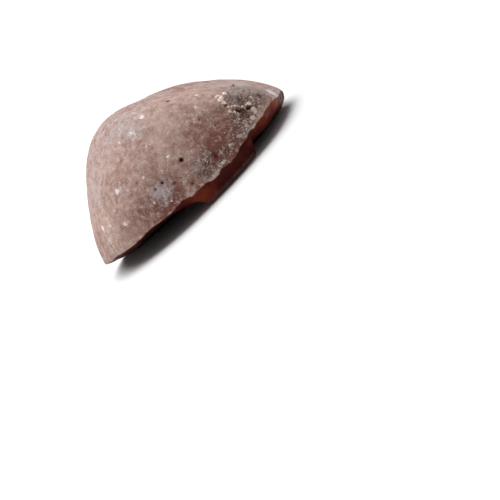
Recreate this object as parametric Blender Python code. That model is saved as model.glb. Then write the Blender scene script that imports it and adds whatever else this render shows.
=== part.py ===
"""Palm jaggery half ball: palm sugar set in half a coconut shell, a piece of its rim broken away.

Metres, +Z up. It lies on its flat face with the dome up. The origin is at the middle of
the face it rests on, +X runs along the longer way of the rim, and the broken rim looks to -Y.
"""
import bmesh
import bpy
import numpy as np

MM = 0.001

# The cast body, measured from a heart point on the vertical axis
HEART_HEIGHT = 12.0 * MM
HALF_LENGTH = 40.4 * MM
HALF_DEPTH = 38.4 * MM
DOME_RISE = 27.4 * MM
DOME_SHARPNESS = 12.0
RIM_SHARPNESS = 20.0

# Flats of the shell it set in: azimuth and elevation of the outward normal, distance from the heart
SHELL_FLATS = (
    (0.0, 46.0, 25.6 * MM),
    (0.0, 66.5, 22.2 * MM),
    (180.0, 36.5, 29.5 * MM),
    (-75.0, 38.0, 32.6 * MM),
    (-140.0, 48.0, 29.6 * MM),
    (55.0, 30.0, 35.2 * MM),
    (125.0, 52.0, 28.4 * MM),
)

# The broken rim: a band that leans in towards the base, from one azimuth to another.
# Its reach is the band's half width at the heart's height, as a share of the body's.
# Its upper edge dips near the middle, and it is steeper round the nose at +X
BREAK_FROM = -158.0
BREAK_TO = 24.0
BREAK_FADE = 10.0
BREAK_LEAN = 0.50
BREAK_REACH = 1.048
BREAK_MIDDLE = -90.0
BREAK_TILT = -0.0002
DIP_AZIMUTH = -72.0
DIP_SPAN = 22.0
DIP_REACH = 0.025
NOSE_FROM = -34.0
NOSE_FADE = 16.0
NOSE_LEAN = 0.36
NOSE_REACH = 1.029
WHOLE_REACH = 1.5
WANDER_SHARE = 0.012
WANDER_WAVE = 7.0 * MM
BREAK_EDGE = 0.02

# The underside rises towards the near rim on both sides of a foot, and towards both tips
UNDERSIDE_SLOPE = 0.178
LEFT_HINGE = 15.6 * MM
LEFT_FROM = -2.4 * MM
LEFT_RAMP = 19.0 * MM
LEFT_BEND = 0.3
RIGHT_HINGE = 3.0 * MM
RIGHT_FROM = 18.4 * MM
RIGHT_RAMP = 3.2 * MM
TIP_FROM = 27.0 * MM
LEFT_TIP_SLOPE = 0.25
RIGHT_TIP_SLOPE = 0.19
UNDERSIDE_WAVE = 6.0 * MM
UNDERSIDE_ROUGH = 0.5 * MM
CLOSING_STEPS = 30
CLOSING_SHARE = 0.2

# Relief that the hand can feel: size of the waves and their height
BROAD_WAVE = 15.0 * MM
BROAD_HEIGHT = 0.45 * MM
LUMP_WAVE = 5.0 * MM
LUMP_HEIGHT = 0.22 * MM
BREAK_WAVE = 3.6 * MM
BREAK_HEIGHT = 0.7 * MM

# Crust of sugar crystals: azimuth, elevation and strength of each of its patches
CRUST_PLACES = ((-43.0, 5.0, 1.0), (-63.0, -4.0, 0.4), (-81.0, -2.0, 0.5))
CRUST_DISTANCE = 35.0 * MM
CRUST_SPREAD = 8.5 * MM
CRUST_WAVE = 2.8 * MM
CRUST_HEIGHT = 0.75 * MM

# Lumps and burst bubbles: azimuth, elevation, width, and height or depth
SPOTS = (
    (-49.0, 12.0, 4.0 * MM, 1.0 * MM),
    (-47.0, -2.0, 3.6 * MM, 0.9 * MM),
    (-52.0, 0.0, 3.0 * MM, -1.0 * MM),
    (-75.0, -3.0, 2.4 * MM, -0.7 * MM),
    (-89.0, 7.0, 2.0 * MM, -0.9 * MM),
)
SPOT_DISTANCE = 36.0 * MM

# The mesh: a fine ball whose points are drawn towards the dome, finer still on the near side
BALL_SUBDIVISIONS = 5
DOME_SHARE = 0.856
DOME_END = 134.4
NEAR_SIDE = -0.35
NEAR_BOTTOM = -0.62
NEAR_TOP = 0.45
SUNK = 1.3 * MM
SMALLEST_EDGE = 0.05 * MM

# Random values that the waves are blended from
NOISE_CELLS = 32
NOISE_SEED = 11
NOISE_SHIFT = 100.0

# Finish
JAGGERY_BROWN = (0.30, 0.17, 0.14, 1.0)
JAGGERY_ROUGHNESS = 0.72
SHARP_ANGLE = 40.0


def clear_scene():
    for thing in list(bpy.data.objects):
        bpy.data.objects.remove(thing, do_unlink=True)


def unit(azimuth, elevation):
    """The unit vector at an azimuth and an elevation given in degrees."""
    turn, rise = np.radians(azimuth), np.radians(elevation)
    return np.array([np.cos(rise) * np.cos(turn), np.cos(rise) * np.sin(turn), np.sin(rise)])


def smooth_step(value):
    """0 below 0, 1 above 1, with a soft start and end between them."""
    value = np.clip(value, 0.0, 1.0)
    return value * value * (3.0 - 2.0 * value)


def waves(points, size, layer):
    """Smooth noise from -1 to 1: random values on a cubic lattice, blended between its corners."""
    table = np.random.default_rng(NOISE_SEED + layer).uniform(-1.0, 1.0, (NOISE_CELLS,) * 3)
    place = points / size + NOISE_SHIFT
    corner = np.floor(place).astype(int)
    part = smooth_step(place - corner)
    total = np.zeros(len(points))
    for step in np.ndindex(2, 2, 2):
        index = (corner + step) % NOISE_CELLS
        weight = np.prod(np.where(step, part, 1.0 - part), axis=1)
        total += weight * table[index[:, 0], index[:, 1], index[:, 2]]
    return total


def dome_closeness(way):
    """One over the distance from the heart to the unbroken skin, along unit directions.

    Half an ellipsoid on an upright wall and the shell's flats each give one over their own
    distance, and their power mean rounds the body where two of them meet.
    """
    upper = np.column_stack([way[:, 0], way[:, 1], np.maximum(way[:, 2], 0.0)])
    total = np.linalg.norm(upper / (HALF_LENGTH, HALF_DEPTH, DOME_RISE), axis=1) ** DOME_SHARPNESS
    for azimuth, elevation, distance in SHELL_FLATS:
        total += (np.maximum(way @ unit(azimuth, elevation), 0.0) / distance) ** DOME_SHARPNESS
    return total ** (1.0 / DOME_SHARPNESS)


def break_closeness(way):
    """One over the distance from the heart to the broken band: a cone that narrows downwards."""
    azimuth = np.degrees(np.arctan2(way[:, 1], way[:, 0]))
    broken_side = smooth_step((azimuth - BREAK_FROM) / BREAK_FADE)
    broken_side *= smooth_step((BREAK_TO - azimuth) / BREAK_FADE)
    ring = way * (1.0, 1.0, 0.0)
    ring /= np.maximum(np.linalg.norm(ring, axis=1), 1e-6)[:, None]
    nose = smooth_step((azimuth - NOSE_FROM) / NOSE_FADE)
    lean = BREAK_LEAN + (NOSE_LEAN - BREAK_LEAN) * nose
    dip = DIP_REACH * np.exp(-((azimuth - DIP_AZIMUTH) / DIP_SPAN) ** 2)
    wander = WANDER_SHARE * lean / BREAK_LEAN * waves(ring * HALF_DEPTH, WANDER_WAVE, 1)
    edge = BREAK_REACH + BREAK_TILT * (azimuth - BREAK_MIDDLE) + dip + wander
    broken_reach = edge + (NOSE_REACH + wander - edge) * nose
    reach = WHOLE_REACH + (broken_reach - WHOLE_REACH) * broken_side
    level = np.hypot(way[:, 0] / HALF_LENGTH, way[:, 1] / HALF_DEPTH)
    return (level - lean * way[:, 2] / HALF_DEPTH) / reach


def underside(points):
    """Height of the underside: level behind, rising towards the near rim beside the foot."""
    x, y = points[:, 0], points[:, 1]
    left = np.clip((LEFT_FROM - x) / LEFT_RAMP, 0.0, 1.0) ** LEFT_BEND * (LEFT_HINGE - y)
    right = smooth_step((x - RIGHT_FROM) / RIGHT_RAMP) * (RIGHT_HINGE - y)
    rise = UNDERSIDE_SLOPE * np.maximum(np.maximum(left, right), 0.0)
    tip_slope = np.where(x > 0.0, RIGHT_TIP_SLOPE, LEFT_TIP_SLOPE)
    rise += tip_slope * np.maximum(np.abs(x) - TIP_FROM, 0.0)
    return rise + UNDERSIDE_ROUGH * waves(points, UNDERSIDE_WAVE, 6) - SUNK


def underside_closeness(way, side):
    """One over the distance from the heart down to the underside.

    Its height depends on where a direction meets it, so each step moves part of the way from
    the height found last to the height at the place that it gives, inside the side.
    """
    down = np.maximum(-way[:, 2], 1e-6)
    height = np.full(len(way), -SUNK)
    for _ in range(CLOSING_STEPS):
        reach = np.minimum(1.0 / side, (HEART_HEIGHT - height) / down)
        height += CLOSING_SHARE * (underside(way * reach[:, None]) - height)
    return down / (HEART_HEIGHT - height)


def relief(way, points, broken):
    """Height of the relief along each direction: broad waves, lumps, crust, break and spots."""
    crust = np.zeros(len(way))
    for azimuth, elevation, strength in CRUST_PLACES:
        away = np.linalg.norm(points - unit(azimuth, elevation) * CRUST_DISTANCE, axis=1)
        crust += strength * np.exp(-(away / CRUST_SPREAD) ** 2)
    height = BROAD_HEIGHT * waves(points, BROAD_WAVE, 2)
    height += LUMP_HEIGHT * waves(points, LUMP_WAVE, 3)
    height += CRUST_HEIGHT * crust * waves(points, CRUST_WAVE, 4)
    height += BREAK_HEIGHT * broken * waves(points, BREAK_WAVE, 5)
    for azimuth, elevation, width, rise in SPOTS:
        away = np.linalg.norm(way - unit(azimuth, elevation), axis=1) * SPOT_DISTANCE
        height += rise * np.exp(-(2.0 * away / width) ** 2)
    return height


def surface(way):
    """Surface points for unit directions from the heart, before the base is cut level."""
    dome = dome_closeness(way)
    band = break_closeness(way)
    broken = smooth_step((band - dome) * HALF_DEPTH / BREAK_EDGE)
    side = np.maximum(dome, band)
    base = underside_closeness(way, side)
    points = way / ((side ** RIM_SHARPNESS + base ** RIM_SHARPNESS) ** (1.0 / RIM_SHARPNESS))[:, None]
    points += way * relief(way, points, broken)[:, None]
    points[:, 2] += HEART_HEIGHT
    return points


def drawn_to_dome(way):
    """The ball's directions, closer together over the dome and wider apart under the base."""
    polar = np.degrees(np.arccos(np.clip(way[:, 2], -1.0, 1.0)))
    knee = DOME_END / DOME_SHARE
    under_base = DOME_END + (polar - knee) * (180.0 - DOME_END) / (180.0 - knee)
    bent = np.radians(np.where(polar < knee, DOME_SHARE * polar, under_base))
    ring = way[:, :2] / np.maximum(np.linalg.norm(way[:, :2], axis=1), 1e-9)[:, None]
    return np.column_stack([np.sin(bent)[:, None] * ring, np.cos(bent)])


def is_near_side(edge):
    """True for an edge of the ball on the broken side, below the upper part of the dome."""
    middle = (edge.verts[0].co + edge.verts[1].co) / 2
    return middle.y < NEAR_SIDE and NEAR_BOTTOM < middle.z < NEAR_TOP


def cut_level(body):
    """Cuts the body at the level it rests on and closes it with one flat face."""
    parts = body.verts[:] + body.edges[:] + body.faces[:]
    cut = bmesh.ops.bisect_plane(body, geom=parts, plane_co=(0, 0, 0), plane_no=(0, 0, -1), clear_outer=True)
    rim = [part for part in cut["geom_cut"] if isinstance(part, bmesh.types.BMEdge)]
    bmesh.ops.holes_fill(body, edges=rim, sides=0)
    bmesh.ops.dissolve_degenerate(body, dist=SMALLEST_EDGE, edges=body.edges)
    bmesh.ops.triangulate(body, faces=[face for face in body.faces if len(face.verts) > 3])


def half_ball_mesh():
    body = bmesh.new()
    bmesh.ops.create_icosphere(body, subdivisions=BALL_SUBDIVISIONS, radius=1.0)
    near = [edge for edge in body.edges if is_near_side(edge)]
    bmesh.ops.subdivide_edges(body, edges=near, cuts=1, use_grid_fill=True)
    bmesh.ops.triangulate(body, faces=body.faces)
    ball = np.array([vert.co for vert in body.verts])
    ball /= np.linalg.norm(ball, axis=1)[:, None]
    for vert, point in zip(body.verts, surface(drawn_to_dome(ball))):
        vert.co = point
    cut_level(body)
    corners = np.array([vert.co for vert in body.verts])
    middle = (corners.min(axis=0) + corners.max(axis=0)) / 2
    bmesh.ops.translate(body, verts=body.verts, vec=(-middle[0], -middle[1], 0.0))
    bmesh.ops.recalc_face_normals(body, faces=body.faces)
    mesh = bpy.data.meshes.new("jaggery_half_ball")
    body.to_mesh(mesh)
    body.free()
    return mesh


def jaggery_material():
    material = bpy.data.materials.new("palm_jaggery")
    material.use_nodes = True
    finish = material.node_tree.nodes["Principled BSDF"]
    finish.inputs["Base Color"].default_value = JAGGERY_BROWN
    finish.inputs["Roughness"].default_value = JAGGERY_ROUGHNESS
    finish.inputs["Metallic"].default_value = 0.0
    return material


clear_scene()
half_ball = bpy.data.objects.new("jaggery_half_ball", half_ball_mesh())
half_ball.data.materials.append(jaggery_material())
half_ball.data.shade_smooth()
half_ball.data.set_sharp_from_angle(angle=np.radians(SHARP_ANGLE))
bpy.context.scene.collection.objects.link(half_ball)
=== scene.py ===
"""A palm jaggery half ball, cast in half a coconut shell and broken along one side of its rim."""
import math

import bpy
import numpy as np
from mathutils import Matrix, Vector


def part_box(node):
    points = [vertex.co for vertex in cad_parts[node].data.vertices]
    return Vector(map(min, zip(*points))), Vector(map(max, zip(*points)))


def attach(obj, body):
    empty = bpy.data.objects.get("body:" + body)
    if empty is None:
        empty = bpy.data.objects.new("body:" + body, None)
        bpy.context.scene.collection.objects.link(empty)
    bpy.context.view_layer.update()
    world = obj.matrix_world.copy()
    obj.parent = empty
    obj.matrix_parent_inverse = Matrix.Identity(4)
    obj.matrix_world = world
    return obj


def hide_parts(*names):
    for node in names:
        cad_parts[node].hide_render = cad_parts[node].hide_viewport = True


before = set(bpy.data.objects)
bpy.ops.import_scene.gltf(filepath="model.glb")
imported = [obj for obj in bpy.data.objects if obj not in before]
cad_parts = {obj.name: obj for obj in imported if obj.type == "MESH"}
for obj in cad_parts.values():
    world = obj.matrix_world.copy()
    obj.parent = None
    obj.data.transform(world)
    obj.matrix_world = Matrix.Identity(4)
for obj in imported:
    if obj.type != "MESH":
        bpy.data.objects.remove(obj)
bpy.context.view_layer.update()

# Half ball
# Palm sap boiled to a thick brown sugar and set in half a coconut shell: a dome with the shell's
# flats on it, a level face below, and one side of the rim broken off. It is one solid lump.

NODE = "jaggery_half_ball"
MM = 0.001
# A smallest length, so that nothing is divided by nought
TINY = 1e-6
# The body round its heart point: half length, half depth and rise, and how sharply the flats
# meet on the dome and at the rim
HEART_HEIGHT = 12.0 * MM
HALF_LENGTH = 40.4 * MM
HALF_DEPTH = 38.4 * MM
DOME_RISE = 27.4 * MM
DOME_SHARPNESS = 12.0
RIM_SHARPNESS = 20.0
# The shell's flats: azimuth and elevation of each in degrees, and how far it is from the heart
SHELL_FLATS = (
    (0.0, 46.0, 25.6 * MM),
    (0.0, 66.5, 22.2 * MM),
    (180.0, 36.5, 29.5 * MM),
    (-75.0, 38.0, 32.6 * MM),
    (-140.0, 48.0, 29.6 * MM),
    (55.0, 30.0, 35.2 * MM),
    (125.0, 52.0, 28.4 * MM),
)
# The broken band: from which azimuth to which, how it fades out, leans, reaches and tilts
BREAK_FROM = -158.0
BREAK_TO = 24.0
BREAK_FADE = 10.0
BREAK_LEAN = 0.50
BREAK_REACH = 1.048
BREAK_MIDDLE = -90.0
BREAK_TILT = -0.0002
# The dip in its edge, and the steeper break round the nose
DIP_AZIMUTH = -72.0
DIP_SPAN = 22.0
DIP_REACH = 0.025
NOSE_FROM = -34.0
NOSE_FADE = 16.0
NOSE_LEAN = 0.36
NOSE_REACH = 1.029
# A reach well outside the dome, where the rim is whole
WHOLE_REACH = 1.5
# How the broken edge wanders, and how it is chipped in the middle
WANDER_SHARE = 0.012
WANDER_WAVE = 7.0 * MM
CHIP_SHARE = 0.010
CHIP_WAVE = 2.0 * MM
CHIP_MIDDLE = -62.0
CHIP_SPAN = 30.0
# Widths over which the skin turns to break, and of the pale lip beside it
BREAK_EDGE = 0.02
LIP_EDGE = 0.012
# The underside: how steeply it rises towards the near rim on the left, the right and at the
# tips, from where, over what length, and how rough it is
UNDERSIDE_SLOPE = 0.178
LEFT_HINGE = 15.6 * MM
LEFT_FROM = -2.4 * MM
LEFT_RAMP = 19.0 * MM
LEFT_BEND = 0.3
RIGHT_HINGE = 3.0 * MM
RIGHT_FROM = 18.4 * MM
RIGHT_RAMP = 3.2 * MM
TIP_FROM = 27.0 * MM
LEFT_TIP_SLOPE = 0.25
RIGHT_TIP_SLOPE = 0.19
UNDERSIDE_WAVE = 6.0 * MM
UNDERSIDE_ROUGH = 0.5 * MM
# Steps that find where a direction meets the underside, and how deep its lowest parts are cut
CLOSING_STEPS = 30
CLOSING_SHARE = 0.2
SUNK = 1.3 * MM
# Large relief: wave sizes and heights of the whole skin, its lumps and the break
BROAD_WAVE = 15.0 * MM
BROAD_HEIGHT = 0.45 * MM
LUMP_WAVE = 5.0 * MM
LUMP_HEIGHT = 0.22 * MM
BREAK_WAVE = 3.6 * MM
BREAK_HEIGHT = 0.7 * MM
# The thick crust: azimuth, elevation and strength of its patches, how far out they lie, how
# wide they spread, and the waves in them
CRUST_PLACES = ((-43.0, 5.0, 1.0), (-63.0, -4.0, 0.4), (-81.0, -2.0, 0.5))
CRUST_DISTANCE = 35.0 * MM
CRUST_SPREAD = 8.5 * MM
CRUST_WAVE = 2.8 * MM
CRUST_HEIGHT = 0.75 * MM
# Lumps and hollows that show one by one: azimuth, elevation, width and rise
SPOTS = (
    (-49.0, 12.0, 4.0 * MM, 1.0 * MM),
    (-47.0, -2.0, 3.6 * MM, 0.9 * MM),
    (-52.0, 0.0, 3.0 * MM, -1.0 * MM),
    (-75.0, -3.0, 2.4 * MM, -0.7 * MM),
    (-89.0, 7.0, 2.0 * MM, -0.9 * MM),
)
SPOT_DISTANCE = 36.0 * MM
# Noise: cells along its table, its seed, a shift that keeps places positive, and the number
# that each kind of noise adds to the seed
NOISE_CELLS = 32
NOISE_SEED = 11
NOISE_SHIFT = 100.0
NOISE_KINDS = {
    "wander": 1, "broad": 2, "lump": 3, "crust": 4, "break": 5, "underside": 6, "chip": 7,
    "crevice": 8, "fine": 10, "crag": 20, "ripple": 30, "crumb": 40,
}

# Fine relief of the skin, the crust and the break: wave size and height of each
FINE_WAVES = ((1.6 * MM, 0.045 * MM), (0.8 * MM, 0.035 * MM))
CRAG_WAVES = ((1.9 * MM, 0.30 * MM), (1.0 * MM, 0.22 * MM))
BREAK_RIPPLES = ((1.9 * MM, 0.16 * MM), (0.9 * MM, 0.06 * MM))
# How sharp the crags are, and how fast they reach full height where the crust thickens
CRAG_PEAKS = 2.2
CRAG_REACH = 1.2

# Burst bubbles: how many are scattered, their widths and depths, and the large ones one by one
PIT_COUNT = 130
PIT_LOWEST = -0.25
PIT_WIDTH = (0.7 * MM, 1.3 * MM)
PIT_SMALLNESS = 2.0
PIT_DEPTH = (0.12 * MM, 0.35 * MM)
PIT_WALLS = 1.3
PIT_SEED = 5
NAMED_PITS = (
    (-87.9, 6.8, 1.8 * MM, 0.9 * MM),
    (-75.3, -3.3, 0.9 * MM, 0.45 * MM),
    (-106.4, 5.3, 1.1 * MM, 0.5 * MM),
    (-102.0, 5.4, 1.6 * MM, 0.6 * MM),
    (-59.8, 38.4, 2.1 * MM, 0.6 * MM),
    (-92.0, -4.6, 1.1 * MM, 0.5 * MM),
    (-91.1, -7.4, 1.0 * MM, 0.4 * MM),
    (-97.8, 1.4, 1.3 * MM, 0.5 * MM),
    (-93.7, 1.0, 0.8 * MM, 0.3 * MM),
    (-52.3, 8.7, 1.2 * MM, 0.5 * MM),
)

# The deep crevice through the crust: azimuths and elevations along it, its width and depth, how
# far it wanders to each side and how steep its walls are
CREVICE = ((-52.4, 4.6), (-50.8, 2.7), (-48.5, 0.7), (-46.0, 0.2), (-44.2, -2.0))
CREVICE_STEPS = 12
CREVICE_WIDTH = 0.85 * MM
CREVICE_DEPTH = 0.55 * MM
CREVICE_WANDER = 0.75
CREVICE_WAVE = 1.1 * MM
CREVICE_WALLS = 3.0

# The mesh: squares along a cube's edge, how far its directions are drawn towards the dome, down
# to which polar angle in degrees, and the digits by which corners are welded
FACE_STEPS = 127
DOME_SHARE = 0.856
DOME_END = 134.4
WELD_PLACES = 6


def unit(azimuth, elevation):
    """The unit vector at an azimuth and an elevation given in degrees."""
    turn, rise = np.radians(azimuth), np.radians(elevation)
    level = np.cos(rise)
    return np.stack([level * np.cos(turn), level * np.sin(turn), np.sin(rise)], axis=-1)


def smooth_step(value):
    """0 below 0, 1 above 1, with a soft start and end between them."""
    value = np.clip(value, 0.0, 1.0)
    return value * value * (3.0 - 2.0 * value)


def waves(points, size, kind, layer=0):
    """Smooth noise from -1 to 1: random values on a cubic lattice, blended between its corners."""
    draw = np.random.default_rng(NOISE_SEED + NOISE_KINDS[kind] + layer)
    table = draw.uniform(-1.0, 1.0, (NOISE_CELLS,) * 3)
    place = points / size + NOISE_SHIFT
    corner = np.floor(place).astype(int)
    part = smooth_step(place - corner)
    total = np.zeros(len(points))
    for step in np.ndindex(2, 2, 2):
        index = (corner + step) % NOISE_CELLS
        weight = np.prod(np.where(step, part, 1.0 - part), axis=1)
        total += weight * table[index[:, 0], index[:, 1], index[:, 2]]
    return total


def dome_closeness(way):
    """One over the distance from the heart to the unbroken skin, along unit directions.

    Half an ellipsoid on an upright wall and the shell's flats each give one over their own
    distance, and their power mean rounds the body where two of them meet.
    """
    upper = np.column_stack([way[:, 0], way[:, 1], np.maximum(way[:, 2], 0.0)])
    total = np.linalg.norm(upper / (HALF_LENGTH, HALF_DEPTH, DOME_RISE), axis=1) ** DOME_SHARPNESS
    for azimuth, elevation, distance in SHELL_FLATS:
        total += (np.maximum(way @ unit(azimuth, elevation), 0.0) / distance) ** DOME_SHARPNESS
    return total ** (1.0 / DOME_SHARPNESS)


def break_closeness(way):
    """One over the distance from the heart to the broken band.

    The band is a cone that narrows downwards. Its edge dips in the middle, is chipped, and the
    cone is steeper round the nose.
    """
    azimuth = np.degrees(np.arctan2(way[:, 1], way[:, 0]))
    broken_side = smooth_step((azimuth - BREAK_FROM) / BREAK_FADE)
    broken_side *= smooth_step((BREAK_TO - azimuth) / BREAK_FADE)
    ring = way * (1.0, 1.0, 0.0)
    ring /= np.maximum(np.linalg.norm(ring, axis=1), TINY)[:, None]
    nose = smooth_step((azimuth - NOSE_FROM) / NOSE_FADE)
    lean = BREAK_LEAN + (NOSE_LEAN - BREAK_LEAN) * nose
    dip = DIP_REACH * np.exp(-((azimuth - DIP_AZIMUTH) / DIP_SPAN) ** 2)
    wander = WANDER_SHARE * waves(ring * HALF_DEPTH, WANDER_WAVE, "wander")
    chipped = np.exp(-((azimuth - CHIP_MIDDLE) / CHIP_SPAN) ** 2)
    wander += CHIP_SHARE * chipped * waves(ring * HALF_DEPTH, CHIP_WAVE, "chip")
    wander *= lean / BREAK_LEAN
    edge = BREAK_REACH + BREAK_TILT * (azimuth - BREAK_MIDDLE) + dip + wander
    broken_reach = edge + (NOSE_REACH + wander - edge) * nose
    reach = WHOLE_REACH + (broken_reach - WHOLE_REACH) * broken_side
    level = np.hypot(way[:, 0] / HALF_LENGTH, way[:, 1] / HALF_DEPTH)
    return (level - lean * way[:, 2] / HALF_DEPTH) / reach


def underside(points):
    """Height of the underside: level behind, rising towards the near rim beside the foot."""
    x, y = points[:, 0], points[:, 1]
    left = np.clip((LEFT_FROM - x) / LEFT_RAMP, 0.0, 1.0) ** LEFT_BEND * (LEFT_HINGE - y)
    right = smooth_step((x - RIGHT_FROM) / RIGHT_RAMP) * (RIGHT_HINGE - y)
    rise = UNDERSIDE_SLOPE * np.maximum(np.maximum(left, right), 0.0)
    tip_slope = np.where(x > 0.0, RIGHT_TIP_SLOPE, LEFT_TIP_SLOPE)
    rise += tip_slope * np.maximum(np.abs(x) - TIP_FROM, 0.0)
    return rise + UNDERSIDE_ROUGH * waves(points, UNDERSIDE_WAVE, "underside") - SUNK


def underside_closeness(way, side):
    """One over the distance from the heart down to the underside.

    Its height depends on where a direction meets it, so each step moves part of the way from
    the height found last to the height at the place that it gives, inside the side.
    """
    down = np.maximum(-way[:, 2], TINY)
    height = np.full(len(way), -SUNK)
    for _ in range(CLOSING_STEPS):
        reach = np.minimum(1.0 / side, (HEART_HEIGHT - height) / down)
        height += CLOSING_SHARE * (underside(way * reach[:, None]) - height)
    return down / (HEART_HEIGHT - height)


def crust_strength(points):
    """How thick the sugar crust is: round patches that fade out, on points from the heart."""
    crust = np.zeros(len(points))
    for azimuth, elevation, strength in CRUST_PLACES:
        away = np.linalg.norm(points - unit(azimuth, elevation) * CRUST_DISTANCE, axis=1)
        crust += strength * np.exp(-(away / CRUST_SPREAD) ** 2)
    return crust


def large_relief(way, points, crust, broken):
    """Relief that the hand can feel: broad waves, lumps, crust, break and the named spots."""
    height = BROAD_HEIGHT * waves(points, BROAD_WAVE, "broad")
    height += LUMP_HEIGHT * waves(points, LUMP_WAVE, "lump")
    height += CRUST_HEIGHT * crust * waves(points, CRUST_WAVE, "crust")
    height += BREAK_HEIGHT * broken * waves(points, BREAK_WAVE, "break")
    for azimuth, elevation, width, rise in SPOTS:
        away = np.linalg.norm(way - unit(azimuth, elevation), axis=1) * SPOT_DISTANCE
        height += rise * np.exp(-(2.0 * away / width) ** 2)
    return height


def mostly_small(draw, limits, power, count):
    """Random sizes from the lower to the upper limit, more of them small the higher the power."""
    return limits[0] + draw.uniform(0.0, 1.0, count) ** power * (limits[1] - limits[0])


def bubble_pits():
    """Azimuth, elevation, width and depth of each burst bubble, the named ones last."""
    draw = np.random.default_rng(PIT_SEED)
    azimuth = draw.uniform(-180.0, 180.0, PIT_COUNT)
    elevation = np.degrees(np.arcsin(draw.uniform(PIT_LOWEST, 1.0, PIT_COUNT)))
    width = mostly_small(draw, PIT_WIDTH, PIT_SMALLNESS, PIT_COUNT)
    depth = draw.uniform(*PIT_DEPTH, PIT_COUNT)
    return np.vstack([np.column_stack([azimuth, elevation, width, depth]), NAMED_PITS])


def pit_depths(way):
    """Depth of the bubble pits along each direction: a round bowl with a soft lip for each."""
    depth = np.zeros(len(way))
    for azimuth, elevation, width, deep in bubble_pits():
        away = np.linalg.norm(way - unit(azimuth, elevation), axis=1) * SPOT_DISTANCE
        bowl = smooth_step(PIT_WALLS * (1.0 - away / (0.5 * width)))
        depth = np.maximum(depth, deep * bowl)
    return depth


def crevice_depth(way, points):
    """Depth of the crevice: a groove along a wandering line through its named places."""
    line = []
    for start, end in zip(CREVICE[:-1], CREVICE[1:]):
        share = np.arange(CREVICE_STEPS)[:, None] / CREVICE_STEPS
        line.append(unit(*start) * (1.0 - share) + unit(*end) * share)
    away = np.full(len(way), np.inf)
    for place in np.vstack(line):
        away = np.minimum(away, np.linalg.norm(way - place, axis=1))
    away = away * SPOT_DISTANCE / CREVICE_WIDTH
    away += CREVICE_WANDER * waves(points, CREVICE_WAVE, "crevice")
    return CREVICE_DEPTH * np.exp(-np.maximum(away, 0.0) ** 2 * CREVICE_WALLS)


def surface(way):
    """Surface points for unit directions from the heart, and the masks that the finish reads.

    The rounded smaller of dome, broken band and underside gives the distance. Large and fine
    relief move the points along their direction, and a level cut stops them at the base.
    """
    dome = dome_closeness(way)
    broken_band = break_closeness(way)
    side = np.maximum(dome, broken_band)
    base = underside_closeness(way, side)
    rounded = (side ** RIM_SHARPNESS + base ** RIM_SHARPNESS) ** (1.0 / RIM_SHARPNESS)
    points = way / rounded[:, None]
    broken = smooth_step((broken_band - dome) * HALF_DEPTH / BREAK_EDGE)
    below = smooth_step((base - side) * HALF_DEPTH / BREAK_EDGE)
    skin = (1.0 - broken) * (1.0 - below)
    crust = crust_strength(points)
    relief = large_relief(way, points, crust, broken)
    for layer, (size, rise) in enumerate(FINE_WAVES):
        relief += rise * waves(points, size, "fine", layer)
    crags = np.zeros(len(way))
    for layer, (size, rise) in enumerate(CRAG_WAVES):
        crags += rise * (1.0 - CRAG_PEAKS * np.abs(waves(points, size, "crag", layer)))
    relief += crags * np.minimum(CRAG_REACH * crust, 1.0) * skin
    for layer, (size, rise) in enumerate(BREAK_RIPPLES):
        relief += rise * waves(points, size, "ripple", layer) * (1.0 - skin)
    pits = np.maximum(pit_depths(way), crevice_depth(way, points)) * skin
    points += way * (relief - pits)[:, None]
    points[:, 2] += HEART_HEIGHT
    sunk = points[:, 2] < 0.0
    to_base = (HEART_HEIGHT / -way[sunk, 2])[:, None]
    points[sunk] = way[sunk] * to_base + (0.0, 0.0, HEART_HEIGHT)
    points[sunk, 2] = 0.0
    lip = np.exp(-((dome - broken_band) * HALF_DEPTH / LIP_EDGE) ** 2) * skin
    masks = {
        "skin": skin, "under": below, "crust": crust,
        "crag": crags / MM, "pit": pits / MM, "lip": lip,
    }
    return points, masks


def ball_grid(steps):
    """Unit directions and outward quads of a ball: six square grids on a cube's faces, welded.

    On each face the two parameters are the tangents of equal angles from -45 to 45 degrees.
    """
    line = np.tan(np.linspace(-np.pi / 4, np.pi / 4, steps + 1))
    across, along = np.meshgrid(line, line, indexing="ij")
    start = np.arange(steps + 1)[:, None] * (steps + 1) + np.arange(steps + 1)
    square = np.stack([start[:-1, :-1], start[1:, :-1], start[1:, 1:], start[:-1, 1:]], axis=-1)
    square = square.reshape(-1, 4)
    faces, quads = [], []
    for side in (1.0, -1.0):
        for axis in range(3):
            face = np.stack([side * np.ones_like(across), across, along], axis=-1)
            face = np.roll(face, axis, axis=-1)
            quads.append((square if side > 0 else square[:, ::-1]) + len(quads) * (steps + 1) ** 2)
            faces.append(face.reshape(-1, 3))
    way = np.vstack(faces)
    way /= np.linalg.norm(way, axis=1)[:, None]
    found = np.unique(np.round(way, WELD_PLACES), axis=0, return_index=True, return_inverse=True)
    return way[found[1]], found[2].reshape(-1)[np.vstack(quads)]


def drawn_to_dome(way):
    """The ball's directions, closer together over the dome and wider apart under the base."""
    polar = np.degrees(np.arccos(np.clip(way[:, 2], -1.0, 1.0)))
    knee = DOME_END / DOME_SHARE
    under_base = DOME_END + (polar - knee) * (180.0 - DOME_END) / (180.0 - knee)
    bent = np.radians(np.where(polar < knee, DOME_SHARE * polar, under_base))
    ring = way[:, :2] / np.maximum(np.linalg.norm(way[:, :2], axis=1), TINY)[:, None]
    return np.column_stack([np.sin(bent)[:, None] * ring, np.cos(bent)])


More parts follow.
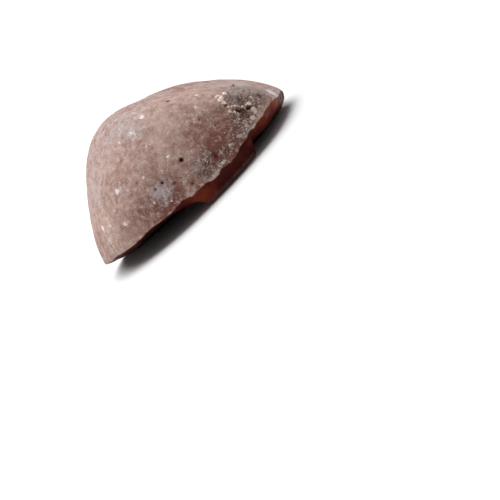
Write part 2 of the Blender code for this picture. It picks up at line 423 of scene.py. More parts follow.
def mesh_piece(name, points, faces, smooth=True):
    """A mesh object at the origin from arrays of points and of faces with one number of corners."""
    mesh = bpy.data.meshes.new(name)
    corners = faces.shape[1]
    mesh.vertices.add(len(points))
    mesh.vertices.foreach_set("co", points.astype(np.float32).ravel())
    mesh.loops.add(faces.size)
    mesh.loops.foreach_set("vertex_index", faces.astype(np.int32).ravel())
    mesh.polygons.add(len(faces))
    mesh.polygons.foreach_set("loop_start", np.arange(0, faces.size, corners, dtype=np.int32))
    mesh.polygons.foreach_set("use_smooth", np.full(len(faces), smooth))
    mesh.update(calc_edges=True)
    mesh.validate()
    piece = bpy.data.objects.new(name, mesh)
    bpy.context.scene.collection.objects.link(piece)
    return piece


def paint(piece, masks):
    """Stores each mask as a number on the piece's points, for the material to read."""
    for name, values in masks.items():
        layer = piece.data.attributes.new(name, "FLOAT", "POINT")
        layer.data.foreach_set("value", values.astype(np.float32))


def node(tree, kind, inputs=None, **settings):
    """One shader node, with its settings, and its inputs as values or as links from sockets."""
    made = tree.nodes.new(kind)
    for name, value in settings.items():
        setattr(made, name, value)
    for name, value in (inputs or {}).items():
        if isinstance(value, bpy.types.NodeSocket):
            tree.links.new(value, made.inputs[name])
        else:
            made.inputs[name].default_value = value
    return made


# A noise's middle, and a Mix node's sockets by number, as several of them have the same name
NOISE_MIDDLE = 0.5
MIX_FACTOR = 0
MIX_NUMBERS = (2, 3)
MIX_COLOURS = (6, 7)
MIX_NUMBER_RESULT = 0
MIX_COLOUR_RESULT = 2


def maths(tree, operation, first, second=0.0, clamp=False):
    """The result socket of one sum on one or two numbers or sockets."""
    inputs = {0: first, 1: second}
    return node(tree, "ShaderNodeMath", inputs, operation=operation, use_clamp=clamp).outputs[0]


def added(tree, first, noise, share):
    """The first number plus a share of how far a noise is above its middle."""
    away = maths(tree, "MULTIPLY", maths(tree, "SUBTRACT", noise, NOISE_MIDDLE), share)
    return maths(tree, "ADD", first, away)


def blend(tree, share, first, second):
    """The colour socket of a mix of two colours or colour sockets by a share."""
    made = node(tree, "ShaderNodeMix", {MIX_FACTOR: share}, data_type="RGBA", clamp_factor=True)
    for socket, value in zip(MIX_COLOURS, (first, second)):
        if isinstance(value, bpy.types.NodeSocket):
            tree.links.new(value, made.inputs[socket])
        else:
            made.inputs[socket].default_value = (*value, 1.0)
    return made.outputs[MIX_COLOUR_RESULT]


def band(tree, value, low, high):
    """0 where a value is below low, 1 above high and smooth between them."""
    spread = node(tree, "ShaderNodeMapRange", {"Value": value, "From Min": low, "From Max": high})
    spread.interpolation_type = "SMOOTHSTEP"
    return spread.outputs["Result"]


def share_of(tree, value, share):
    """A value or mask, made weaker by a share."""
    return maths(tree, "MULTIPLY", value, share, clamp=True)


def reading(tree, name):
    """The number that the piece carries under a name."""
    return node(tree, "ShaderNodeAttribute", attribute_name=name).outputs["Fac"]


def cloud(tree, place, scale, detail, roughness):
    """Noise from 0 to 1 with about scale waves a metre."""
    inputs = {"Vector": place, "Scale": scale, "Detail": detail, "Roughness": roughness}
    return node(tree, "ShaderNodeTexNoise", inputs).outputs["Fac"]


def flecks(tree, place, gathered, scale, start, share):
    """A share on ragged flecks where noise passes start, more of them where gathered is high."""
    fine = cloud(tree, place, scale, *FLECK_DETAIL)
    spotted = band(tree, added(tree, fine, gathered, FLECK_GATHERING), start, start + FLECK_EDGE)
    return share_of(tree, spotted, share)


def veins(tree, place, scale, width):
    """1 along thin winding lines, where a noise crosses its middle, and 0 away from them."""
    noise = cloud(tree, place, scale, *VEIN_DETAIL)
    away = maths(tree, "ABSOLUTE", maths(tree, "SUBTRACT", noise, NOISE_MIDDLE))
    return maths(tree, "SUBTRACT", 1.0, band(tree, away, VEIN_CORE * width, width))


def torn(tree, noises, name):
    """A painted mask with a torn edge: moved by the noises, banded and weakened as MASKS says."""
    moves, limits, share = MASKS[name]
    value = reading(tree, name)
    for noise, move in zip(noises, moves):
        if move:
            value = added(tree, value, noise, move)
    return share_of(tree, band(tree, value, *limits), share)


def new_material(name, settings):
    """A material with even settings on its finish node, its node tree and that node."""
    material = bpy.data.materials.new(name)
    material.use_nodes = True
    tree = material.node_tree
    finish = tree.nodes["Principled BSDF"]
    for socket, value in settings.items():
        finish.inputs[socket].default_value = value
    return material, tree, finish


def place_on(tree):
    """The place on the piece, in metres."""
    return node(tree, "ShaderNodeTexCoord").outputs["Object"]


# The colours of the skin, of the crust and of the break, in linear light
CLEAN_BROWN = (0.180, 0.071, 0.053)
PALE_BLOOM = (0.555, 0.402, 0.346)
RED_STAIN = (0.120, 0.022, 0.014)
PALE_DUST = (0.860, 0.770, 0.770)
LILAC_BLOOM = (0.440, 0.375, 0.380)
GREY_LILAC = (0.246, 0.182, 0.182)
CREAM = (0.660, 0.560, 0.470)
DARK_DOT = (0.085, 0.040, 0.032)
PIT_SHADE_BROWN = (0.030, 0.010, 0.007)
CRUST_DARK = (0.050, 0.024, 0.020)
CRUST_MID = (0.155, 0.079, 0.068)
CRUST_CREAM = (0.640, 0.540, 0.440)
CRUST_GREY = (0.305, 0.240, 0.222)
# The break's deep and red are darker than its glass alone: painted shade that holds it dark against
# light from the floor
BREAK_DEEP = (0.050, 0.005, 0.003)
BREAK_RED = (0.130, 0.016, 0.007)
# Amber for the break: partly its own colour, partly painted glow of light through its thin glass
BREAK_AMBER = (0.190, 0.045, 0.016)
# Paler grey-brown for the break near the floor: painted light against its contact shadow
BREAK_LOW_LIGHTENED = (0.150, 0.085, 0.070)

# The four noises, blotches, gatherings, mottle and grain: waves a metre, detail and roughness
NOISES = ((110.0, 3.0, 0.55), (260.0, 2.0, 0.55), (520.0, 3.0, 0.62), (1800.0, 2.0, 0.65))
# Each painted mask: how far each of the four noises moves it, the band in which it turns from
# none to full, and how strong it is when full
MASKS = {
    "bloom": ((1.1, 0.0, 1.9, 0.9), (-0.6, 1.4), 1.0),
    "lilac": ((0.0, 0.0, 2.2, 1.6), (0.2, 1.4), 0.9),
    "dust": ((0.0, 0.0, 1.4, 1.4), (0.30, 0.90), 0.85),
    "crusted": ((0.0, 0.9, 1.1, 0.0), (0.35, 0.75), 0.9),
    "greyness": ((0.0, 1.6, 0.0, 0.0), (0.3, 0.8), 1.0),
    "stain": ((0.0, 0.0, 1.2, 0.0), (0.3, 0.9), 0.8),
    "low_lightened": ((0.0, 0.0, 0.8, 0.8), (0.35, 1.0), 0.85),
    "skin": ((0.0, 0.0, 0.8, 0.0), (0.40, 0.60), 1.0),
}
# Flecks: waves a metre, where they start and how strong they are, and what all flecks share
DARK_DOTS = (2300.0, 0.70, 0.55)
CREAM_DOTS = (1500.0, 0.665, 0.65)
CRUST_DOTS = (1700.0, 0.64, 0.75)
FLECK_DETAIL = (1.5, 0.6)
FLECK_GATHERING = 0.45
FLECK_EDGE = 0.035
# Cream along the lip above the break, where the mottle is high
LIP_BAND = (0.48, 0.62)
LIP_SHARE = 0.35
# The crust's crags: their middle, the mottle's, grain's and relief's shares in them, and the
# bands in which they turn pale in brown crust, in grey crust and at their peaks
CRAG_MIDDLE = 0.5
CRAG_MOTTLE = 1.6
CRAG_GRAIN = 1.3
# Through the relief's share the crust is darker in its hollows: painted shade
CRAG_RELIEF = 0.8
BROWN_BAND = (0.20, 0.60)
GREY_BAND = (0.15, 0.65)
PEAK_BAND = (0.78, 1.05)
# The cream net over the crust, and how much of it and of the specks the grey dust hides
NET_VEINS = (700.0, 0.045)
NET_BAND = (0.42, 0.60)
NET_SHARE = 0.65
VEIN_DETAIL = (1.0, 0.55)
VEIN_CORE = 0.3
DUST_HIDES = 0.65
# How fast a pit darkens with its depth in millimetres: painted shade in the pits and the crevice
PIT_SHADE = 1.9
# The break's redness: how far the mottle moves it, and the bands from deep to red to amber
REDNESS_MOTTLE = 1.4
RED_BAND = (0.1, 0.9)
AMBER_BAND = (0.75, 1.5)
# Roughness of the skin, what full bloom adds to it, and that of the break
SKIN_ROUGHNESS = 0.70
BLOOM_ROUGHNESS = 0.15
BREAK_ROUGHNESS = 0.45
JAGGERY_FINISH = {
    "Specular IOR Level": 0.08,
    "Subsurface Weight": 0.06,
    "Subsurface Radius": (1.2 * MM, 0.4 * MM, 0.2 * MM),
    "Subsurface Scale": 1.0,
}
# The finest relief: shares of mottle and grain, those left on the break and added on the skin,
# and its strength and depth
BUMP_MOTTLE = 0.8
BUMP_GRAIN = 0.4
BUMP_ON_BREAK = 0.3
BUMP_ON_SKIN = 0.7
BUMP = {"Strength": 0.70, "Distance": 0.25 * MM}


def jaggery_material():
    """Dusty brown skin with pale bloom, specks, pits and crust, and the dark glassy break.

    The layers lie one over the other: bloom, lilac, dots, pale lip and dust; then the crust
    with its net, peaks and specks; then stains and pits. The break shows where the skin ends.
    """
    material, tree, finish = new_material("palm_jaggery", JAGGERY_FINISH)
    place = place_on(tree)
    noises = [cloud(tree, place, *settings) for settings in NOISES]
    gathered, mottle, grain = noises[1:]

    bloom = torn(tree, noises, "bloom")
    skin = blend(tree, bloom, CLEAN_BROWN, PALE_BLOOM)
    skin = blend(tree, torn(tree, noises, "lilac"), skin, LILAC_BLOOM)
    skin = blend(tree, flecks(tree, place, gathered, *DARK_DOTS), skin, DARK_DOT)
    skin = blend(tree, flecks(tree, place, mottle, *CREAM_DOTS), skin, CREAM)
    lip = maths(tree, "MULTIPLY", reading(tree, "lip"), band(tree, mottle, *LIP_BAND))
    skin = blend(tree, share_of(tree, lip, LIP_SHARE), skin, CREAM)
    skin = blend(tree, torn(tree, noises, "dust"), skin, PALE_DUST)

    crag = added(tree, added(tree, CRAG_MIDDLE, mottle, CRAG_MOTTLE), grain, CRAG_GRAIN)
    # Painted shade: low crags darken the crust, over its own dark and cream mottle
    relief = maths(tree, "MULTIPLY", reading(tree, "crag"), CRAG_RELIEF)
    crag = maths(tree, "ADD", crag, relief)
    brown_crust = blend(tree, band(tree, crag, *BROWN_BAND), CRUST_DARK, CRUST_MID)
    grey_crust = blend(tree, band(tree, crag, *GREY_BAND), GREY_LILAC, CRUST_GREY)
    greyed = torn(tree, noises, "greyness")
    crust = blend(tree, greyed, brown_crust, grey_crust)
    bare = maths(tree, "SUBTRACT", 1.0, share_of(tree, greyed, DUST_HIDES))
    net = maths(tree, "MULTIPLY", veins(tree, place, *NET_VEINS), band(tree, grain, *NET_BAND))
    for share, colour in (
        (share_of(tree, net, NET_SHARE), CRUST_CREAM),
        (band(tree, crag, *PEAK_BAND), CRUST_CREAM),
        (flecks(tree, place, mottle, *CRUST_DOTS), CRUST_DARK),
    ):
        crust = blend(tree, maths(tree, "MULTIPLY", share, bare), crust, colour)
    skin = blend(tree, torn(tree, noises, "crusted"), skin, crust)
    skin = blend(tree, torn(tree, noises, "stain"), skin, RED_STAIN)
    # Painted shade: the pits and the crevice turn dark brown with their depth
    skin = blend(tree, share_of(tree, reading(tree, "pit"), PIT_SHADE), skin, PIT_SHADE_BROWN)

    # Red to amber: partly the break's own colour, partly painted glow of light through it
    redness = added(tree, reading(tree, "amber"), mottle, REDNESS_MOTTLE)
    # The break's own dark red, made darker still as painted shade
    inside = blend(tree, band(tree, redness, *RED_BAND), BREAK_DEEP, BREAK_RED)
    inside = blend(tree, band(tree, redness, *AMBER_BAND), inside, BREAK_AMBER)
    # Painted light: the break turns paler grey-brown near the floor, against its contact shadow
    inside = blend(tree, torn(tree, noises, "low_lightened"), inside, BREAK_LOW_LIGHTENED)
    whole = torn(tree, noises, "skin")
    tree.links.new(blend(tree, whole, inside, skin), finish.inputs["Base Color"])

    dusty = maths(tree, "MULTIPLY", bloom, BLOOM_ROUGHNESS)
    skin_rough = maths(tree, "ADD", SKIN_ROUGHNESS, dusty)
    first, second = MIX_NUMBERS
    inputs = {MIX_FACTOR: whole, first: BREAK_ROUGHNESS, second: skin_rough}
    rough = node(tree, "ShaderNodeMix", inputs).outputs[MIX_NUMBER_RESULT]
    tree.links.new(rough, finish.inputs["Roughness"])

    coarse_part = maths(tree, "MULTIPLY", mottle, BUMP_MOTTLE)
    fine_part = maths(tree, "MULTIPLY", grain, BUMP_GRAIN)
    on_skin = maths(tree, "MULTIPLY", whole, BUMP_ON_SKIN)
    strength = maths(tree, "ADD", BUMP_ON_BREAK, on_skin)
    height = maths(tree, "MULTIPLY", maths(tree, "ADD", coarse_part, fine_part), strength)
    bump = node(tree, "ShaderNodeBump", {**BUMP, "Height": height})
    tree.links.new(bump.outputs["Normal"], finish.inputs["Normal"])
    return material


# Where the pale bloom lies thick or thin, and painted light and shade on the rim: azimuth,
# elevation, reach and how much it adds
BLOOM_EVEN = 0.55
BLOOM_AND_LIGHT_PLACES = (
    # Painted shade: less bloom on the upper left shoulder, where the light falls full on it
    (-150.0, 58.0, 12.0 * MM, -0.20),
    (-65.0, -3.5, 9.0 * MM, -1.10),
    (-63.0, 40.0, 13.0 * MM, 0.20),
    (-108.0, -10.0, 12.0 * MM, -0.60),
    (-107.0, -4.0, 4.0 * MM, -0.40),
    (-144.0, -1.0, 7.0 * MM, 0.25),
    (-139.5, 4.8, 3.0 * MM, 0.20),
    (0.0, 50.0, 18.0 * MM, -0.25),
    (-105.0, 30.0, 14.0 * MM, 0.12),
    (-75.0, -7.5, 3.5 * MM, -0.60),
    (-101.0, -3.5, 3.5 * MM, -0.25),
    (-128.9, 3.4, 8.0 * MM, -0.16),
    (-112.0, 23.8, 6.0 * MM, -0.15),
    (-102.5, 0.5, 5.0 * MM, -0.22),
    # Painted light: more bloom on the left rim, where the light falls short
    (-152.0, 28.0, 7.0 * MM, 0.35),
    (60.0, 25.0, 13.0 * MM, -0.40),
    (115.0, 48.0, 10.0 * MM, -0.35),
    (150.0, 14.0, 9.0 * MM, 0.30),
    (95.0, 6.0, 8.0 * MM, 0.30),
    (30.0, 62.0, 8.0 * MM, 0.25),
    (125.0, 22.0, 6.0 * MM, -0.35),
)
# Where the bloom is grey and lilac, and painted light on the left rim
LILAC_EVEN = 0.05
LILAC_AND_LIGHT_PLACES = (
    (-104.5, 3.4, 4.2 * MM, 0.88),
    (-87.2, -1.7, 2.0 * MM, 0.75),
    (-108.6, -1.5, 3.0 * MM, 0.30),
    (-105.9, 54.0, 8.0 * MM, 0.60),
    (180.0, 40.0, 26.0 * MM, 0.55),
    (-96.4, 38.3, 3.5 * MM, 0.55),
    (-125.7, 16.6, 1.8 * MM, 1.00),
    (-52.6, -0.7, 2.6 * MM, 0.80),
    (-53.3, -5.7, 2.5 * MM, 0.90),
    (-60.4, -5.2, 3.0 * MM, 0.70),
    (-82.8, -8.6, 2.6 * MM, 0.80),
    (-22.4, -6.0, 2.6 * MM, 1.20),
    (-28.0, 9.0, 10.0 * MM, 0.70),
    (-2.0, 14.0, 12.0 * MM, 0.65),
    # Painted light: more lilac bloom on the left rim, where the light falls short
    (-150.5, 26.0, 7.0 * MM, 0.35),
    (-63.0, 28.0, 6.0 * MM, 0.25),
    (75.0, 52.0, 11.0 * MM, 0.60),
    (128.0, 8.0, 7.0 * MM, 0.75),
    (48.0, 12.0, 6.0 * MM, 0.60),
    (92.0, 30.0, 5.0 * MM, 0.70),
)
# Where the crust covers the skin, and where it is grey with dust
CRUSTED_PLACES = (
    (-42.0, 5.5, 6.8 * MM, 1.00),
    (-32.0, 2.0, 5.5 * MM, 0.80),
    (-50.5, 0.0, 4.0 * MM, 0.60),
    (-55.0, -2.5, 3.6 * MM, 0.60),
    (-62.0, -5.5, 3.0 * MM, 0.45),
    (-69.0, -4.5, 3.2 * MM, 0.50),
    (-76.0, -3.5, 3.8 * MM, 0.75),
    (-84.0, -3.0, 4.2 * MM, 0.75),
)
GREYNESS_EVEN = 0.20
GREYNESS_PLACES = (
    (-24.0, 8.0, 9.0 * MM, 0.80),
    (-38.0, 9.0, 6.0 * MM, 0.50),
    (-84.0, -2.0, 4.0 * MM, 0.15),
)
# Where dust lies in white marks
DUST_PLACES = (
    (-84.8, 43.1, 0.9 * MM, 1.60),
    (-126.6, 17.2, 1.1 * MM, 0.85),
    (-87.1, 56.0, 2.2 * MM, 0.45),
    (-98.5, 37.5, 2.6 * MM, 0.50),
    (-111.3, 40.8, 1.0 * MM, 0.50),
    (-96.6, 25.3, 1.1 * MM, 0.60),
    (-91.6, 12.4, 0.8 * MM, 0.80),
    (-107.3, 13.4, 1.0 * MM, 0.60),
    (-50.9, 24.3, 0.8 * MM, 0.80),
    (-71.6, 46.3, 2.0 * MM, 0.40),
    (-134.6, 25.8, 1.0 * MM, 0.55),
    (-147.7, 6.6, 1.3 * MM, 0.45),
    (-147.8, -0.4, 3.0 * MM, 0.50),
    (-22.4, -5.0, 2.4 * MM, 0.85),
    (-150.0, 6.6, 0.9 * MM, 0.80),
    (-140.6, 6.0, 0.8 * MM, 0.85),
    (-130.0, 2.4, 0.8 * MM, 0.85),
    (-140.5, -0.4, 0.8 * MM, 0.75),
    (-60.4, 19.9, 0.8 * MM, 0.60),
    (104.0, 34.0, 1.3 * MM, 1.30),
    (142.0, 50.0, 2.2 * MM, 0.55),
    (58.0, 43.0, 1.0 * MM, 0.90),
    (162.0, 22.0, 1.0 * MM, 0.80),
    (84.0, 10.0, 2.8 * MM, 0.50),
    (33.0, 28.0, 1.6 * MM, 0.60),
    (118.0, 62.0, 1.0 * MM, 0.80),
)
# Where syrup left a red stain
STAIN_PLACES = (
    (-75.3, -3.3, 1.5 * MM, 1.10),
    (-87.9, 6.8, 1.2 * MM, 0.50),
)
# Where the break turns red to amber: its own amber, brightened as painted glow of light shining
# through the thin glass
AMBER_EVEN = 0.15
AMBER_PLACES = (
    (-93.5, -12.5, 4.5 * MM, 0.75),
    (-88.0, -16.0, 4.0 * MM, 0.45),
    (-26.0, -7.0, 5.0 * MM, 1.20),
    (-43.0, -9.0, 6.0 * MM, 0.60),
    (-81.6, -14.5, 4.0 * MM, -0.35),
)
# How high above the floor the break is painted paler grey-brown: painted light against its contact
# shadow
LIGHTENED_HEIGHT = 3.6 * MM
# Added to the distance on the other side of the heart, so that a patch doesn't come out there
FAR_SIDE = 9.0


def patches(points, even, places):
    """An even value plus round patches, on points from the heart.

    Each patch fades as a bell does with the distance from the line out of the heart.
    """
    total = np.full(len(points), even)
    for azimuth, elevation, reach, strength in places:
        centre = unit(azimuth, elevation)
        along = points @ centre
        nearest = np.maximum(along, 0.0)[:, None] * centre
        away = np.linalg.norm(points - nearest, axis=1) + FAR_SIDE * (along <= 0.0)
        total += strength * np.exp(-(away / reach) ** 2)
    return total


def keep_inside(points):
    """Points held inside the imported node's box."""
    return np.clip(points, *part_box(NODE))


ways, squares = ball_grid(FACE_STEPS)
ball_points, ball_masks = surface(drawn_to_dome(ways))
from_heart = ball_points - (0.0, 0.0, HEART_HEIGHT)
for mask, even, places in (
    ("bloom", BLOOM_EVEN, BLOOM_AND_LIGHT_PLACES),
    ("lilac", LILAC_EVEN, LILAC_AND_LIGHT_PLACES),
    ("crusted", 0.0, CRUSTED_PLACES),
    ("greyness", GREYNESS_EVEN, GREYNESS_PLACES),
    ("dust", 0.0, DUST_PLACES),
    ("stain", 0.0, STAIN_PLACES),
    ("amber", AMBER_EVEN, AMBER_PLACES),
):
    ball_masks[mask] = patches(from_heart, even, places)
# Painted light near the floor, where the break lies in contact shadow
low_down = smooth_step(1.0 - ball_points[:, 2] / LIGHTENED_HEIGHT)
ball_masks["low_lightened"] = low_down * (1.0 - ball_masks["under"])
node_low, node_high = (np.array(corner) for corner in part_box(NODE))
to_node = (node_low + node_high - ball_points.min(axis=0) - ball_points.max(axis=0)) / 2
to_node[2] = 0.0
half_ball = mesh_piece("cast_half_ball", keep_inside(ball_points + to_node), squares)
paint(half_ball, ball_masks)
half_ball.data.materials.append(jaggery_material())
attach(half_ball, "root")
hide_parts(NODE)

# Sugar crystals
# Grains of sugar that dried out on the skin, most of them in the crust by the broken rim and a
# few all over the dome. Each is a small squashed crystal with eight sides, sunk into the skin.

CRYSTAL_TRIES = 60000
CRYSTAL_SEED = 21
CRYSTAL_LOWEST = -0.3
CRYSTAL_RADIUS = (0.10 * MM, 0.30 * MM)
CRYSTAL_SMALLNESS = 2.2
CRYSTAL_STRETCH = (0.7, 1.4)
CRYSTAL_FLATNESS = 0.65
CRYSTAL_SUNK = 0.25
# How often a crystal grows: its chance in thick crust, on the lip and on plain skin, and how
# whole the skin has to be
CRYSTAL_IN_CRUST = 0.22
CRYSTAL_CRUST_FROM = 0.15
CRYSTAL_ON_LIP = 0.10
CRYSTAL_ON_SKIN = 0.012
CRYSTAL_WHOLE_SKIN = 0.9
CRYSTAL_CORNERS = np.array([
    (1, 0, 0), (0, 1, 0), (-1, 0, 0), (0, -1, 0), (0, 0, 1), (0, 0, -1),
], float)
CRYSTAL_SIDES = np.array([
    (0, 1, 4), (1, 2, 4), (2, 3, 4), (3, 0, 4), (1, 0, 5), (2, 1, 5), (3, 2, 5), (0, 3, 5),
])
CRYSTAL_LIGHT = (0.640, 0.540, 0.450)
CRYSTAL_DARK = (0.300, 0.210, 0.180)
# The height on the axis that grains grow away from, and the clouds and finish of dull sugar
GROWTH_HEIGHT = 0.3 * HEART_HEIGHT
SUGAR_CLOUD = (2600.0, 2.0, 0.55)
SUGAR_CLOUDINESS = 0.9
SUGAR_FINISH = {
    "Roughness": 0.55,
    "Specular IOR Level": 0.35,
    "Subsurface Weight": 0.15,
    "Subsurface Radius": (1.0 * MM, 0.7 * MM, 0.5 * MM),
    "Subsurface Scale": 1.0,
}


def random_ways(draw, count, lowest):
    """Unit directions spread evenly over the ball above a lowest height."""
    height = draw.uniform(lowest, 1.0, count)
    turn = draw.uniform(-np.pi, np.pi, count)
    ring = np.sqrt(1.0 - height ** 2)
    return np.column_stack([ring * np.cos(turn), ring * np.sin(turn), height])


def spun_frames(draw, normals):
    """Three axes for each normal: two across it, turned at random, and the normal itself."""
    other = draw.normal(size=normals.shape)
    first = np.cross(normals, other)
    first /= np.linalg.norm(first, axis=1)[:, None]
    return np.stack([first, np.cross(normals, first), normals], axis=1)


def scattered(corners, sides, centres, frames, sizes):
    """Points and faces of one small solid at each centre, on its own axes and with its own sizes.

    A point is the centre plus the corner's three parts, each times its size, along the axes.
    """
    local = corners * sizes[:, None, :]
    points = centres[:, None, :] + np.einsum("gcp,gpx->gcx", local, frames)
    faces = sides[None, :, :] + (np.arange(len(centres)) * corners.shape[-2])[:, None, None]
    return points.reshape(-1, 3), faces.reshape(-1, sides.shape[1])


def inside_box(centres, reach):
    """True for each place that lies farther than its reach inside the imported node's sides."""
    return np.all(np.abs(centres[:, :2]) + reach[:, None] < node_high[:2], axis=1)


def outward(centres):
    """Unit directions out of the skin: away from a point low on the upright axis."""
    away = centres - (0.0, 0.0, GROWTH_HEIGHT)
    return away / np.linalg.norm(away, axis=1)[:, None]


draw = np.random.default_rng(CRYSTAL_SEED)
grain_centres, grain_masks = surface(random_ways(draw, CRYSTAL_TRIES, CRYSTAL_LOWEST))
chance = CRYSTAL_IN_CRUST * np.clip(grain_masks["crust"] - CRYSTAL_CRUST_FROM, 0.0, 1.0)
chance += CRYSTAL_ON_SKIN
chance += CRYSTAL_ON_LIP * grain_masks["lip"]
chance *= grain_masks["skin"] > CRYSTAL_WHOLE_SKIN
kept = draw.uniform(0.0, 1.0, CRYSTAL_TRIES) < chance
grain_centres = grain_centres[kept] + to_node
grain_radius = mostly_small(draw, CRYSTAL_RADIUS, CRYSTAL_SMALLNESS, len(grain_centres))
room = inside_box(grain_centres, grain_radius)
grain_centres, grain_radius = grain_centres[room], grain_radius[room]
grain_normals = outward(grain_centres)
grain_sizes = grain_radius[:, None] * draw.uniform(*CRYSTAL_STRETCH, (len(grain_radius), 3))
grain_sizes *= (1.0, 1.0, CRYSTAL_FLATNESS)
grain_centres -= grain_normals * (CRYSTAL_SUNK * grain_radius)[:, None]
grain_points, grain_faces = scattered(
    CRYSTAL_CORNERS, CRYSTAL_SIDES, grain_centres, spun_frames(draw, grain_normals), grain_sizes
)
crystals = mesh_piece("sugar_crystals", keep_inside(grain_points), grain_faces, smooth=False)
grain_tints = draw.uniform(0.0, 1.0, len(grain_centres))
paint(crystals, {"tint": np.repeat(grain_tints, len(CRYSTAL_CORNERS))})


def sugar_material(name, pale, dark):
    """Dull sugar between two colours, from grain to grain and with fine cloudiness in each."""
    material, tree, finish = new_material(name, SUGAR_FINISH)
    cloudy = cloud(tree, place_on(tree), *SUGAR_CLOUD)
    share = added(tree, reading(tree, "tint"), cloudy, SUGAR_CLOUDINESS)
    tree.links.new(blend(tree, share, dark, pale), finish.inputs["Base Color"])
    return material


crystals.data.materials.append(sugar_material("sugar_crystal", CRYSTAL_LIGHT, CRYSTAL_DARK))
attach(crystals, "root")
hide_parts(NODE)

# Crust crumbs
# Larger crumbs of dried sugar that stand in the crust beside the broken rim, some of them pale
# cream and some grey and brown. Each is a rounded lump, grown onto the skin.

CRUMB_TRIES = 9000
CRUMB_SEED = 33
CRUMB_LOWEST = -0.25
CRUMB_RADIUS = (0.30 * MM, 0.75 * MM)
CRUMB_SMALLNESS = 1.8
CRUMB_STRETCH = (0.75, 1.25)
CRUMB_PALENESS = (0.0, 0.65)
# How often a crumb grows: its chance in full crust, where the crust is thick enough, and how
# whole the skin has to be
CRUMB_CHANCE = 0.15
CRUMB_STEEPNESS = 1.3
CRUMB_CRUST_FROM = 0.35
CRUMB_WHOLE_SKIN = 0.95
# Shares of the radius: how deep it sits, how much room it needs at the sides, and its unevenness
CRUMB_SUNK = 0.45
CRUMB_OUT = 0.6
CRUMB_ROUGH = 0.50
# Its lumps: how much of the noise a crumb spans, the waves in it, and how far apart crumbs read it
CRUMB_SPAN = 1.1 * MM
CRUMB_WAVE = 1.0 * MM
CRUMB_SHIFT = 30.0 * MM
# Rings and spokes of its mesh, and the colours that crumbs lie between
CRUMB_RINGS = 7
CRUMB_SPOKES = 9
CRUMB_LIGHT = (0.870, 0.700, 0.600)
CRUMB_DARK = (0.130, 0.085, 0.075)
# The crumbs that show one by one: azimuth, elevation, radius and paleness
NAMED_CRUMBS = (
    (-50.4, 12.2, 1.15 * MM, 1.00),
    (-49.3, 14.0, 0.80 * MM, 0.95),
    (-46.6, 12.2, 0.70 * MM, 0.85),
    (-51.4, 10.2, 0.75 * MM, 0.95),
    (-46.1, -2.2, 1.10 * MM, 0.50),
    (-44.3, 1.0, 0.70 * MM, 0.85),
    (-47.6, 2.4, 0.65 * MM, 0.60),
    (-50.0, 5.5, 0.70 * MM, 0.70),
    (-52.5, 7.2, 0.45 * MM, 0.75),
    (-51.3, 6.2, 0.50 * MM, 0.65),
    (-49.0, 4.2, 0.50 * MM, 0.70),
    (-46.0, 1.8, 0.45 * MM, 0.75),
    (-51.8, 2.0, 0.40 * MM, 0.60),
    (-54.2, 5.3, 0.55 * MM, 0.70),
    (-53.0, 3.7, 0.60 * MM, 0.70),
    (-49.1, -4.1, 0.80 * MM, 0.60),
    (-60.4, -5.2, 0.70 * MM, 0.35),
    (-82.8, -8.6, 0.55 * MM, 0.55),
    (-107.5, 13.4, 0.55 * MM, 0.85),
    (-91.9, 12.4, 0.50 * MM, 0.80),
    (-110.8, 1.3, 0.50 * MM, 0.70),
    (-104.3, -3.2, 0.50 * MM, 0.70),
)


def crumb_grid():
    """Directions of a small ball by polar and turning angle, closed by one point at each end."""
    polar = np.linspace(0.0, np.pi, CRUMB_RINGS + 2)[1:-1]
    turn = np.arange(CRUMB_SPOKES) * 2.0 * np.pi / CRUMB_SPOKES
    polar, turn = (grid.ravel() for grid in np.meshgrid(polar, turn, indexing="ij"))
    wide = np.sin(polar)
    rings = np.column_stack([wide * np.cos(turn), wide * np.sin(turn), np.cos(polar)])
    index = np.arange(CRUMB_RINGS * CRUMB_SPOKES).reshape(CRUMB_RINGS, CRUMB_SPOKES)
    after = np.roll(index, -1, axis=1)
    first = np.stack([index[:-1], index[1:], after[1:]], axis=-1).reshape(-1, 3)
    second = np.stack([index[:-1], after[1:], after[:-1]], axis=-1).reshape(-1, 3)
    top, bottom = index.size, index.size + 1
    cap = np.column_stack([np.full(CRUMB_SPOKES, top), index[0], after[0]])
    foot = np.column_stack([np.full(CRUMB_SPOKES, bottom), after[-1], index[-1]])
    corners = np.vstack([rings, (0.0, 0.0, 1.0), (0.0, 0.0, -1.0)])
    return corners, np.vstack([first, second, cap, foot])


draw = np.random.default_rng(CRUMB_SEED)
crumb_centres, crumb_masks = surface(random_ways(draw, CRUMB_TRIES, CRUMB_LOWEST))
crusty = np.clip(CRUMB_STEEPNESS * crumb_masks["crust"] - CRUMB_CRUST_FROM, 0.0, 1.0)
chance = CRUMB_CHANCE * crusty * (crumb_masks["skin"] > CRUMB_WHOLE_SKIN)
kept = draw.uniform(0.0, 1.0, CRUMB_TRIES) < chance
crumb_radius = mostly_small(draw, CRUMB_RADIUS, CRUMB_SMALLNESS, kept.sum())
crumb_pale = draw.uniform(*CRUMB_PALENESS, kept.sum())
named = np.array(NAMED_CRUMBS)
named_centres = surface(unit(named[:, 0], named[:, 1]))[0]
crumb_centres = np.vstack([crumb_centres[kept], named_centres]) + to_node
crumb_radius = np.concatenate([crumb_radius, named[:, 2]])
crumb_pale = np.concatenate([crumb_pale, named[:, 3]])
room = inside_box(crumb_centres, CRUMB_OUT * crumb_radius)
crumb_centres, crumb_radius, crumb_pale = crumb_centres[room], crumb_radius[room], crumb_pale[room]
crumb_normals = outward(crumb_centres)
crumb_centres -= crumb_normals * (CRUMB_SUNK * crumb_radius)[:, None]
crumb_ball, crumb_sides = crumb_grid()
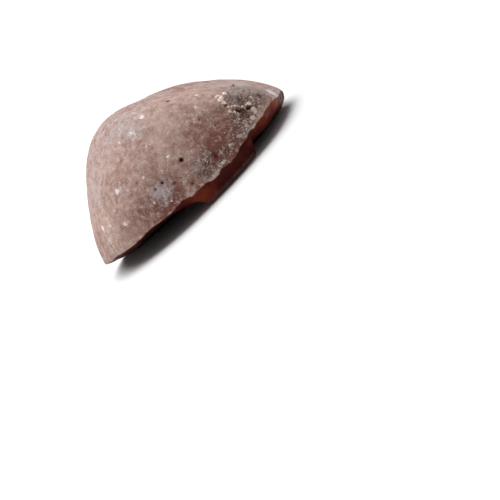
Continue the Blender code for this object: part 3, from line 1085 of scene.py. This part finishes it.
lumpy = np.stack([
    1.0 + CRUMB_ROUGH * waves(crumb_ball * CRUMB_SPAN + shift, CRUMB_WAVE, "crumb")
    for shift in draw.uniform(0.0, CRUMB_SHIFT, (len(crumb_radius), 3))
])
crumb_corners = crumb_ball[None, :, :] * lumpy[:, :, None]
crumb_sizes = crumb_radius[:, None] * draw.uniform(*CRUMB_STRETCH, (len(crumb_radius), 3))
crumb_points, crumb_faces = scattered(
    crumb_corners, crumb_sides, crumb_centres, spun_frames(draw, crumb_normals), crumb_sizes
)
crumbs = mesh_piece("crust_crumbs", keep_inside(crumb_points), crumb_faces)
paint(crumbs, {"tint": np.repeat(crumb_pale, len(crumb_ball))})
crumbs.data.materials.append(sugar_material("crust_sugar", CRUMB_LIGHT, CRUMB_DARK))
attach(crumbs, "root")
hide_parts(NODE)

# Floor
# A wide, flat, pale sheet of matt paper that the half ball rests on. It catches the shadow and
# is not part of the object.

FLOOR_HALF = 40.0
FLOOR_PALE = (0.78, 0.78, 0.78)
FLOOR_FINISH = {"Base Color": (*FLOOR_PALE, 1.0), "Roughness": 0.9, "Specular IOR Level": 0.0}

floor_corners = np.array([(-1, -1, 0), (1, -1, 0), (1, 1, 0), (-1, 1, 0)]) * FLOOR_HALF
floor = mesh_piece("pale_floor", floor_corners, np.array([[0, 1, 2, 3]]), smooth=False)
floor.data.materials.append(new_material("pale_floor", FLOOR_FINISH)[0])

# Light
# One broad soft light, as from a window, stands above, behind and a little to the left. An even
# dim light comes from all round, and what lies beyond the floor shows white.

KEY_FROM = Vector((-0.14, 0.34, 0.93))
KEY_POWER = 4.05
KEY_SPREAD = math.radians(75.0)
ROOM_LIGHT = 0.30
ROOM_WHITE = 1.0

key = bpy.data.objects.new("key_light", bpy.data.lights.new("key_light", "SUN"))
key.data.energy = KEY_POWER
key.data.angle = KEY_SPREAD
key.rotation_euler = KEY_FROM.to_track_quat("Z", "Y").to_euler()
bpy.context.scene.collection.objects.link(key)

world = bpy.data.worlds.new("room")
world.use_nodes = True
bpy.context.scene.world = world
sky = world.node_tree.nodes["Background"]
seen = node(world.node_tree, "ShaderNodeLightPath").outputs["Is Camera Ray"]
level = node(world.node_tree, "ShaderNodeMapRange", {
    "Value": seen, "To Min": ROOM_LIGHT, "To Max": ROOM_WHITE,
})
world.node_tree.links.new(level.outputs["Result"], sky.inputs["Strength"])
sky.inputs["Color"].default_value = (1.0, 1.0, 1.0, 1.0)

# Camera
# It looks from a little above the rim and is rolled by an eighth of a turn, so that the rim
# runs up to the right and the broken side faces down.

CAMERA_RISE = math.radians(10.0)
CAMERA_ROLL = math.radians(45.0)
CAMERA_AWAY = 0.75
PICTURE_WIDTH = 0.1585
CENTRE_ACROSS = -0.0036
CENTRE_UP = -0.0240
CLIP_FROM = 0.05
CLIP_TO = 200.0

across = Vector((1.0, 0.0, 0.0))
up = Vector((0.0, math.sin(CAMERA_RISE), math.cos(CAMERA_RISE)))
back = across.cross(up)
right_edge = across * math.cos(CAMERA_ROLL) - up * math.sin(CAMERA_ROLL)
top_edge = across * math.sin(CAMERA_ROLL) + up * math.cos(CAMERA_ROLL)
camera = bpy.data.objects.new("camera", bpy.data.cameras.new("camera"))
camera.data.lens = camera.data.sensor_width * CAMERA_AWAY / PICTURE_WIDTH
camera.data.clip_start = CLIP_FROM
camera.data.clip_end = CLIP_TO
camera.rotation_mode = "QUATERNION"
camera.rotation_quaternion = Matrix((right_edge, top_edge, back)).transposed().to_quaternion()
camera.location = across * CENTRE_ACROSS + up * CENTRE_UP + back * CAMERA_AWAY
bpy.context.scene.collection.objects.link(camera)
bpy.context.scene.camera = camera
bpy.context.scene.view_settings.view_transform = "Standard"
